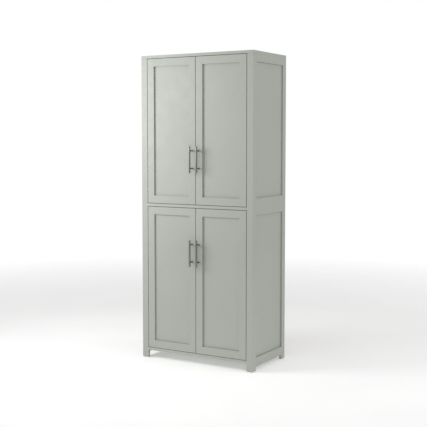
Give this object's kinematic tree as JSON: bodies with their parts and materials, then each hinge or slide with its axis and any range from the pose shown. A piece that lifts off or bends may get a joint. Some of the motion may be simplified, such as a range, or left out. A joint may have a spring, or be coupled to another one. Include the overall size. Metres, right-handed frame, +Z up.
{
  "type": "pantry cabinet",
  "caption": "Tall free-standing pantry cabinet on square feet, with inset framed doors above and below, bar pulls, panelled sides and loose shelves.",
  "frame": {"origin": "on the floor, at the centre of the overall footprint with the pulls included", "axes": "+Z up, -Y out of the doors, +X to the right of a person who faces the doors"},
  "size_m": [0.7112, 0.413, 1.7018],
  "materials": {
    "painted_board": "satin paint, warm light grey, on fibreboard",
    "shelf_board": "satin laminate on particleboard",
    "hardboard": "painted face, bare brown back",
    "beech": "bare",
    "brushed_nickel": "brushed",
    "steel": "zinc plated",
    "zinc": "nickel plated",
    "white_plastic": "moulded"
  },
  "bodies": {
    "carcass": {"left_front_post": "painted_board", "right_front_post": "painted_board", "left_rear_stile": "painted_board", "right_rear_stile": "painted_board", "left_side_rails": "painted_board", "right_side_rails": "painted_board", "left_side_panels": "painted_board", "right_side_panels": "painted_board", "top_board": "painted_board", "middle_board": "painted_board", "bottom_board": "painted_board", "upper_back_panel": "hardboard", "lower_back_panel": "hardboard", "upper_shelf_high": "shelf_board", "upper_shelf_low": "shelf_board", "lower_shelf_high": "shelf_board", "lower_shelf_low": "shelf_board", "shelf_pins": "steel", "hinge_battens": "painted_board", "hinge_plates": "zinc", "hinge_arms": "zinc", "fixing_screws": "steel", "door_catches": "white_plastic", "cam_locks": "zinc", "cam_bolts": "steel", "dowels": "beech", "anti_tip_bracket": "steel", "foot_glides": "white_plastic"},
    "upper_left_door": {"upper_left_stiles": "painted_board", "upper_left_rails": "painted_board", "upper_left_panel": "painted_board", "upper_left_pull": "brushed_nickel", "upper_left_screws": "steel", "upper_left_hinge_cups": "zinc", "upper_left_hinge_pins": "steel", "upper_left_strike": "steel"},
    "upper_right_door": {"upper_right_stiles": "painted_board", "upper_right_rails": "painted_board", "upper_right_panel": "painted_board", "upper_right_pull": "brushed_nickel", "upper_right_screws": "steel", "upper_right_hinge_cups": "zinc", "upper_right_hinge_pins": "steel", "upper_right_strike": "steel"},
    "lower_left_door": {"lower_left_stiles": "painted_board", "lower_left_rails": "painted_board", "lower_left_panel": "painted_board", "lower_left_pull": "brushed_nickel", "lower_left_screws": "steel", "lower_left_hinge_cups": "zinc", "lower_left_hinge_pins": "steel", "lower_left_strike": "steel"},
    "lower_right_door": {"lower_right_stiles": "painted_board", "lower_right_rails": "painted_board", "lower_right_panel": "painted_board", "lower_right_pull": "brushed_nickel", "lower_right_screws": "steel", "lower_right_hinge_cups": "zinc", "lower_right_hinge_pins": "steel", "lower_right_strike": "steel"}
  },
  "joints": [
    {"name": "upper_left_hinge", "type": "hinge", "parent": "carcass", "child": "upper_left_door", "pos_m": [-0.3036, -0.167, 1.28335], "axis": [0, 0, -1], "range_deg": [0, 105]},
    {"name": "upper_right_hinge", "type": "hinge", "parent": "carcass", "child": "upper_right_door", "pos_m": [0.3036, -0.167, 1.28335], "axis": [0, 0, 1], "range_deg": [0, 105]},
    {"name": "lower_left_hinge", "type": "hinge", "parent": "carcass", "child": "lower_left_door", "pos_m": [-0.3036, -0.167, 0.46245], "axis": [0, 0, -1], "range_deg": [0, 105]},
    {"name": "lower_right_hinge", "type": "hinge", "parent": "carcass", "child": "lower_right_door", "pos_m": [0.3036, -0.167, 0.46245], "axis": [0, 0, 1], "range_deg": [0, 105]}
  ]
}
